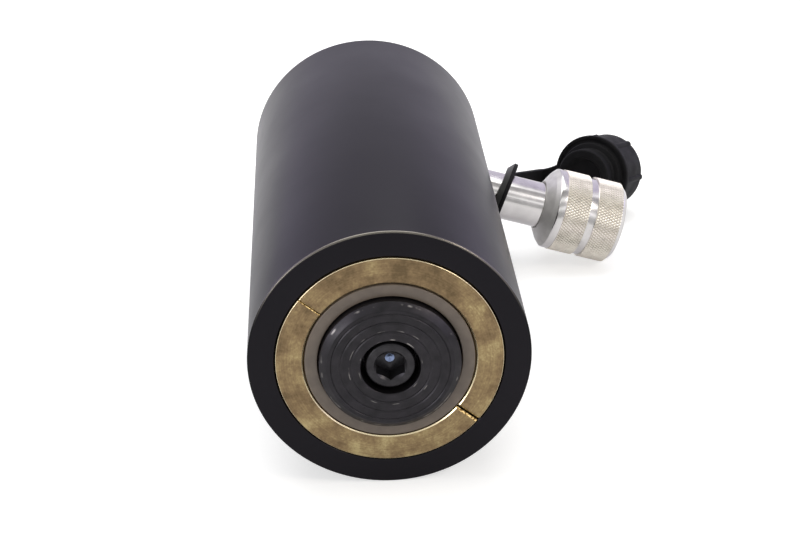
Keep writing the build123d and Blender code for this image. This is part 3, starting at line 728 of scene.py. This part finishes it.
# %% Turn the neck
NECK = 10.1
neck_outline = [
    (4, 26.1),
    (8.2, 26.1, 0.4),
    (8.2, 48),
    (NECK, 48, 0.3),
    (NECK, 84),
    (13.5, 84, 0.4),
    (13.5, 93, 0.4),
    (9.55, 93),
    (9.55, 85),
    (7.5, 85),
    (7.5, 71),
    (4, 71),
]
neck = lathe("coupler_neck", neck_outline, steps=96)
for side in (-1, 1):
    bpy.ops.object.select_all(action="DESELECT")
    place = (side * (9.3 + 5) * MM, 0, 52 * MM)
    bpy.ops.mesh.primitive_cube_add(size=1, location=place, scale=(10 * MM, 24 * MM, 8 * MM))
    slab = bpy.context.object
    bpy.ops.object.transform_apply(location=True, rotation=True, scale=True)
    cut(neck, slab)
settle(neck, COUPLER)
finish_piece(neck, "cylinder", "zinc plated steel", ["coupler_body"])

# %% [markdown]
# ## Collar
# The sleeve is turned first, with its cone, smooth band, middle groove and chamfered front.
# The two knurls are pressed in by rolls with slanted teeth, which leaves rows of small pyramids.
# One column of pyramids is made from a small grid, spun round in 88 copies and merged.

# %% Turn the collar's core
COLLAR = 18.3
KNURL_DEPTH = 0.42
KNURL_COLUMNS = 88
CORE = COLLAR - KNURL_DEPTH - 0.05
collar_outline = [
    (10.4, 79, 0.2),
    (11.2, 79, 0.3),
    (15.9, 82.0, 0.6),
    (17.75, 83.8, 0.7),
    (17.95, 84.4),
    (17.95, 86.9, 0.2),
    (CORE, 87.3),
    (CORE, 97.7),
    (17.5, 98, 0.15),
    (17.5, 101.4, 0.15),
    (CORE, 101.7),
    (CORE, 112.5),
    (18.1, 112.7, 0.3),
    (16.0, 115, 0.5),
    (14.3, 115, 0.2),
    (13.3, 114, 0.2),
    (13.3, 104.2),
    (14.2, 104.2),
    (14.2, 83),
    (10.4, 83),
]
collar = lathe("knurled_collar", collar_outline, steps=128)


# %% [markdown]
# A grid of two cells by two per pyramid has its peaks at the corners and in the middle.
# Pushing every second vertex outwards, and splitting each cell between the low ones,
# gives the crossed grooves of a rolled knurl.


# %% Knurl
def knurl(low, high, rows):
    """A closed ring of pyramids between two stations."""
    turn = 2 * math.pi / KNURL_COLUMNS
    valley = (COLLAR - KNURL_DEPTH) * MM
    bpy.ops.object.select_all(action="DESELECT")
    bpy.ops.mesh.primitive_grid_add(x_subdivisions=2, y_subdivisions=2 * rows, size=1)
    column = bpy.context.object
    mesh = column.data
    for vertex in mesh.vertices:
        across = round(vertex.co.x * 2)
        along = round((vertex.co.y + 0.5) * 2 * rows)
        peak = (across + 1 + along) % 2 == 0
        radius = valley + (KNURL_DEPTH * MM if peak else 0)
        angle = across * turn / 2
        height = (low + (high - low) * along / (2 * rows)) * MM
        vertex.co = (radius * math.cos(angle), radius * math.sin(angle), height)
    select_only(column)
    bpy.ops.object.mode_set(mode="EDIT")
    bpy.ops.mesh.select_all(action="SELECT")
    bpy.ops.mesh.quads_convert_to_tris(quad_method="SHORTEST_DIAGONAL")
    bpy.ops.mesh.spin(
        steps=KNURL_COLUMNS, dupli=True, angle=2 * math.pi, center=(0, 0, 0), axis=(0, 0, 1)
    )
    bpy.ops.mesh.select_all(action="SELECT")
    bpy.ops.mesh.remove_doubles(threshold=0.01 * MM)
    for rim in (low, high):
        bpy.ops.mesh.select_all(action="DESELECT")
        bpy.ops.mesh.select_mode(type="VERT")
        bpy.ops.object.mode_set(mode="OBJECT")
        for vertex in mesh.vertices:
            vertex.select = abs(vertex.co.z - rim * MM) < 0.01 * MM
        bpy.ops.object.mode_set(mode="EDIT")
        bpy.ops.mesh.select_mode(type="EDGE")
        bpy.ops.mesh.extrude_edges_move()
        factor = (CORE - 1) / (COLLAR - KNURL_DEPTH / 2)
        bpy.ops.transform.resize(value=(factor, factor, 1), center_override=(0, 0, 0))
    bpy.ops.mesh.select_all(action="DESELECT")
    bpy.ops.mesh.select_mode(type="EDGE")
    bpy.ops.mesh.select_non_manifold(extend=False)
    bpy.ops.mesh.bridge_edge_loops()
    bpy.ops.object.mode_set(mode="OBJECT")
    outward_normals(column)
    return column


for number, (low, high) in enumerate(((87.0, 98.0), (101.4, 112.8))):
    band = knurl(low, high, 5)
    band.name = f"collar_knurl_{number + 1}"
    band.data.name = band.name
    settle(band, COUPLER)
    band.data.materials.clear()
    band.data.materials.append(bpy.data.materials["zinc plated knurl"])
    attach(band, "collar")
    print(band.name, len(band.data.polygons), "faces")
settle(collar, COUPLER)
finish_piece(collar, "collar", "zinc plated steel", ["coupler_collar"])
cone_end = (COUPLER @ Vector((0, 0, 83.2 * MM))) / MM
paint_faces(collar, "zinc plated shoulder", lambda at: (at - cone_end).dot(along_port) < 0)

# %% [markdown]
# ## Springs
# Springs are drawn wire, wound on a rod. A screw modifier winds a circle of wire round the axis.


# %% Wind the springs
def spring(name, wire, outer, turns, low, high, place, node_name):
    """A coil on Z between two heights, put in its place."""
    bpy.ops.object.select_all(action="DESELECT")
    start = ((outer - wire) / 2 * MM, 0, (low + wire / 2) * MM)
    bpy.ops.mesh.primitive_circle_add(
        vertices=12, radius=wire / 2 * MM, location=start, rotation=(math.pi / 2, 0, 0)
    )
    item = bpy.context.object
    bpy.ops.object.transform_apply(location=True, rotation=True, scale=True)
    item.name = name
    item.data.name = name
    winding = item.modifiers.new("winding", "SCREW")
    winding.steps = 32
    winding.iterations = turns
    winding.screw_offset = (high - low - wire) / turns * MM
    winding.use_merge_vertices = True
    winding.merge_threshold = 0.001 * MM
    apply_modifiers(item)
    bpy.ops.object.mode_set(mode="EDIT")
    bpy.ops.mesh.select_all(action="SELECT")
    bpy.ops.mesh.fill_holes(sides=0)
    bpy.ops.object.mode_set(mode="OBJECT")
    outward_normals(item)
    settle(item, place)
    smooth(item, 50)
    item.data.materials.append(bpy.data.materials["spring steel"])
    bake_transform(item)
    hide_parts(node_name)
    print(name, len(item.data.polygons), "faces")


spring("plunger_spring", 4.5, 34, 19, 40.8, 140.7, LYING, "return_spring")
spring("valve_spring", 1.2, 11, 6, 74.1, 93.15, COUPLER, "poppet_spring")

# %% [markdown]
# ## Ring of the strap
# A soft ring that the strap pulls askew on the neck. Its side towards the cylinder is bevelled,
# so that it can be pushed on, and that bevel is what the light falls on.

# %% Turn the ring
ring_outline = [
    (11.3, -2.2, 0.5),
    (12.7, -2.2, 1.0),
    (15.8, 0.3, 0.5),
    (15.8, 1.9, 0.5),
    (11.3, 2, 0.5),
]
strap_ring = lathe("strap_ring", ring_outline, steps=96)
settle(strap_ring, RING)
finish_piece(strap_ring, "cap_ring", "moulded rubber", ["cap_strap_ring"], 60)
ring_middle = RING.translation / MM
ring_axis = RING.to_3x3().col[2]
# The bevel towards the cylinder gets the lighter grey of painted light.
paint_faces(strap_ring, "rubber painted lighter where lit", lambda at: (at - ring_middle).dot(ring_axis) < 0.1)

# %% [markdown]
# ## Strap
# The strap is a flat band, so it starts as one upright edge that is extruded along its way:
# out of the ring, back to the cap, and round a tight bend into the cap's flange.
# There it widens, as rubber mouldings do at a joint. Solidify gives it its thickness.

# %% Extrude the strap along its way
STRAP_HALF = 4.5
STRAP_THICK = 2.2
FLANGE = 18.6
END_HEIGHT = -6.5
MIDDLE = 1.3
to_cap = CAP.inverted()
hinge_local = to_cap @ HINGE / MM
inner_local = to_cap @ (RING @ Vector((13.5 * MM, 0, 0))) / MM
bend = 6
corner_x = FLANGE + bend
run = Vector((corner_x, MIDDLE)) - Vector((hinge_local.x, hinge_local.z))
run_angle = math.atan2(run.y, run.x)
into_flange = math.pi
half_turn = (into_flange - run_angle) / 2
tangent = bend * math.tan(half_turn)
bend_start = Vector((corner_x, MIDDLE)) - run.normalized() * tangent
centre = bend_start + Vector((-run.normalized().y, run.normalized().x)) * bend
way = [(inner_local.x, inner_local.z, inner_local.y, STRAP_HALF)]
slope = (END_HEIGHT - hinge_local.y) / -hinge_local.z
for step in range(13):
    share = step / 12
    spot = Vector((hinge_local.x, hinge_local.z)).lerp(bend_start, share)
    way.append((spot.x, spot.y, END_HEIGHT + slope * spot.y, STRAP_HALF))
for step in range(1, 11):
    share = step / 10
    turn = share * 2 * half_turn
    arm = Matrix.Rotation(turn, 2) @ (bend_start - centre)
    spot = centre + arm
    flare = 3.6 * max(0.0, share - 0.25) ** 1.6 / 0.75**1.6
    way.append((spot.x, spot.y, END_HEIGHT + slope * min(spot.y, 0), STRAP_HALF + flare))
way.append((FLANGE - 1.2, MIDDLE, END_HEIGHT, STRAP_HALF + 5.2))
print("strap stations", len(way))

bpy.ops.object.select_all(action="DESELECT")
bpy.ops.mesh.primitive_plane_add(size=1)
strap = bpy.context.object
strap.name = "strap_band"
strap.data.name = "strap_band"
bpy.ops.object.mode_set(mode="EDIT")
bpy.ops.mesh.select_mode(type="VERT")
bpy.ops.mesh.select_all(action="DESELECT")
bpy.ops.object.mode_set(mode="OBJECT")
for vertex in strap.data.vertices:
    vertex.select = vertex.co.x > 0
bpy.ops.object.mode_set(mode="EDIT")
bpy.ops.mesh.delete(type="VERT")
bpy.ops.mesh.select_all(action="SELECT")
x0, z0, y0, half = way[0]
bpy.ops.transform.resize(value=(1, half * 2 * MM, 1), center_override=(-0.5, 0, 0))
bpy.ops.transform.translate(value=(0.5 + x0 * MM, y0 * MM, z0 * MM))
for (xa, za, ya, ha), (xb, zb, yb, hb) in zip(way, way[1:]):
    bpy.ops.mesh.extrude_region_move(
        TRANSFORM_OT_translate={"value": ((xb - xa) * MM, (yb - ya) * MM, (zb - za) * MM)}
    )
    bpy.ops.transform.resize(
        value=(1, hb / ha, 1), center_override=(xb * MM, yb * MM, zb * MM)
    )
bpy.ops.object.mode_set(mode="OBJECT")
solid = strap.modifiers.new("thickness", "SOLIDIFY")
solid.thickness = STRAP_THICK * MM
solid.offset = 0
soft = strap.modifiers.new("edges", "BEVEL")
soft.width = 0.45 * MM
soft.segments = 2
soft.limit_method = "ANGLE"
soft.angle_limit = math.radians(50)
apply_modifiers(strap)
settle(strap, CAP)
outward_normals(strap)
smooth(strap, 50)
strap.data.materials.append(bpy.data.materials["moulded rubber"])
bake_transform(strap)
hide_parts("cap_strap")

# %% [markdown]
# ## Dust cap
# A soft moulding: a plug with steps that grip the collar's mouth, a flange, and a grip with ribs.
# The ribs are rods along the grip, sunk into it and joined by a boolean.

# %% Turn the cap and add its ribs
cap_outline = [
    (0, -7),
    (8.2, -7, 0.6),
    (9.2, -9, 0.4),
    (12.9, -9, 0.8),
    (12.9, -5.2, 0.3),
    (12.3, -4.6, 0.3),
    (12.3, -2.6, 0.3),
    (13.0, -1.9, 0.3),
    (15, -1.5, 0.5),
    (15.4, 0.3, 0.4),
    (16.6, 0.3, 0.4),
    (17.0, 0, 0.3),
    (FLANGE, 0, 0.6),
    (FLANGE, 2.6, 0.6),
    (17.3, 2.6, 0.5),
    (17.3, 21, 1.6),
    (12, 21, 0.5),
    (11.6, 19, 0.5),
    (0, 19),
]
cap = lathe("dust_cap_shell", cap_outline, steps=96)
for number in range(6):
    turn = 2 * math.pi * number / 6
    spot = Vector((16.45 * MM * math.cos(turn), 16.45 * MM * math.sin(turn), 0))
    rib = lathe("rib", [(0, 2), (1.7, 2), (1.7, 20.6, 1.2), (0, 20.6)], steps=24)
    settle(rib, Matrix.Translation(spot))
    union = cap.modifiers.new("rib", "BOOLEAN")
    union.operation = "UNION"
    union.solver = "EXACT"
    union.object = rib
    apply_modifiers(cap)
    bpy.data.objects.remove(rib)
settle(cap, CAP)
finish_piece(cap, "cap", "moulded rubber", ["dust_cap"], 40)

# %% [markdown]
# ## Ground, light and camera
# The studio is a white sweep. The camera sees the floor as white as the background,
# and the object's soft shadow stays on it. Mirrors see a dimmer floor, as in a real room.

# %% Floor
bpy.ops.object.select_all(action="DESELECT")
bpy.ops.mesh.primitive_plane_add(size=12, location=(0, 0, -0.05))
floor = bpy.context.object
floor.name = "studio_floor"
tree, shader = new_material("white paper sweep", Roughness=0.9, Base_Color=linear("#DADADA"))
shader.inputs["Specular IOR Level"].default_value = 0.0
path = node(tree, "ShaderNodeLightPath")
mirrored = maths(tree, "MAXIMUM", path.outputs["Is Glossy Ray"], path.outputs["Is Transmission Ray"])
seen = maths(tree, "MULTIPLY", path.outputs["Is Camera Ray"], 0.6)
strength = maths(tree, "MULTIPLY_ADD", mirrored, 0.4, seen)
tint = ramp(tree, mirrored, (0, "#FFFFFF"), (1, "#F8F5FF"))
glow = node(tree, "ShaderNodeEmission", {"Color": tint, "Strength": strength})
both = node(tree, "ShaderNodeAddShader", {0: shader.outputs[0], 1: glow.outputs[0]})
tree.links.new(both.outputs[0], tree.nodes["Material Output"].inputs["Surface"])
floor.data.materials.append(bpy.data.materials["white paper sweep"])

# %% [markdown]
# The camera sees plain white behind the floor, and matt surfaces get an even light.
# Bright metal mirrors the room instead: light and dark strips between the floor in front and
# the ceiling behind, like windows and walls. The sides and the back of the room are faintly lavender.

# %% World
world = bpy.data.worlds.new("studio")
bpy.context.scene.world = world
world.use_nodes = True
tree = world.node_tree
tree.nodes.clear()
path = node(tree, "ShaderNodeLightPath")
direction = node(tree, "ShaderNodeTexCoord").outputs["Generated"]
split = node(tree, "ShaderNodeSeparateXYZ", {"Vector": direction})
towards_front = maths(tree, "MULTIPLY", split.outputs["Y"], -1.0)
climb = maths(tree, "ARCTAN2", split.outputs["Z"], towards_front)
round_the_room = maths(tree, "DIVIDE", climb, math.pi)
strips = (
    (0, 0.34), (18, 0.36), (23, 0.95), (28, 0.95), (32, 0.4), (43, 0.42), (48, 0.95), (55, 0.9),
    (60, 0.34), (83, 0.24), (90, 0.9), (97, 0.48), (110, "#A5A1B0"), (135, "#B9B5C4"), (180, "#C9C5D4"),
)
room = ramp(tree, round_the_room, *[(angle / 180, value) for angle, value in strips])
sideways = maths(tree, "POWER", maths(tree, "ABSOLUTE", split.outputs["X"]), 2.0)
brightness = maths(tree, "MULTIPLY_ADD", sideways, 2.2, 1.4)
tint = ramp(tree, sideways, (0, "#FFFFFF"), (0.15, "#FDFBFF"), (0.6, "#F2EDFF"))
seen_room = node(tree, "ShaderNodeMix", {0: 1.0, 6: room, 7: tint}, data_type="RGBA", blend_type="MULTIPLY")
lit_room = {"Color": seen_room.outputs[2], "Strength": brightness}
mirror = node(tree, "ShaderNodeBackground", lit_room).outputs[0]
ambient = node(tree, "ShaderNodeBackground", {"Color": (1, 1, 1, 1), "Strength": 0.45}).outputs[0]
paper = node(tree, "ShaderNodeBackground", {"Color": (1, 1, 1, 1), "Strength": 1.0}).outputs[0]
mirrored = maths(tree, "MAXIMUM", path.outputs["Is Glossy Ray"], path.outputs["Is Transmission Ray"])
lit = node(tree, "ShaderNodeMixShader", {0: mirrored, 1: ambient, 2: mirror}).outputs[0]
whole = node(tree, "ShaderNodeMixShader", {0: path.outputs["Is Camera Ray"], 1: lit, 2: paper})
node(tree, "ShaderNodeOutputWorld", {"Surface": whole.outputs[0]})


# %% [markdown]
# Three lamps: a large soft one overhead, a smaller one low on the left, and a small warm one
# on the right, which gives the knurl its sparkle.

# %% Lamps
def soft_lamp(name, place, target, size, watts, colour="#FFFFFF"):
    """A square area lamp that looks at the target."""
    bpy.ops.object.light_add(type="AREA", location=place)
    lamp = bpy.context.object
    lamp.name = name
    lamp.data.shape = "RECTANGLE"
    lamp.data.size = size[0]
    lamp.data.size_y = size[1]
    lamp.data.energy = watts
    lamp.data.color = linear(colour)[:3]
    aim = Vector(target) - Vector(place)
    lamp.rotation_euler = aim.to_track_quat("-Z", "Y").to_euler()
    return lamp


soft_lamp("overhead_lamp", (-0.1, 0.3, 1.3), (0, -0.1, 0), (1.4, 1.4), 15)
soft_lamp("left_lamp", (-1.2, -1.15, 0.32), (0, -0.1, 0), (0.5, 0.5), 5)
soft_lamp("right_lamp", (0.9, -0.7, 0.8), (0, -0.1, 0), (0.35, 0.35), 3, "#FFF4E6")

# %% [markdown]
# The camera stands in front of the plunger, a little to the left and well above it,
# where the photographer stood. Its place, turn and lens were worked out from the ellipses of the rims.

# %% Camera
bpy.ops.object.camera_add(location=(-0.02308, -0.732, 0.29956))
camera = bpy.context.object
camera.rotation_euler = [math.radians(angle) for angle in (63.7123, 0.6614, -3.2329)]
camera.data.sensor_width = 36
camera.data.lens = 78.397
camera.data.clip_end = 50
bpy.context.scene.camera = camera
bpy.context.scene.view_settings.view_transform = "Standard"
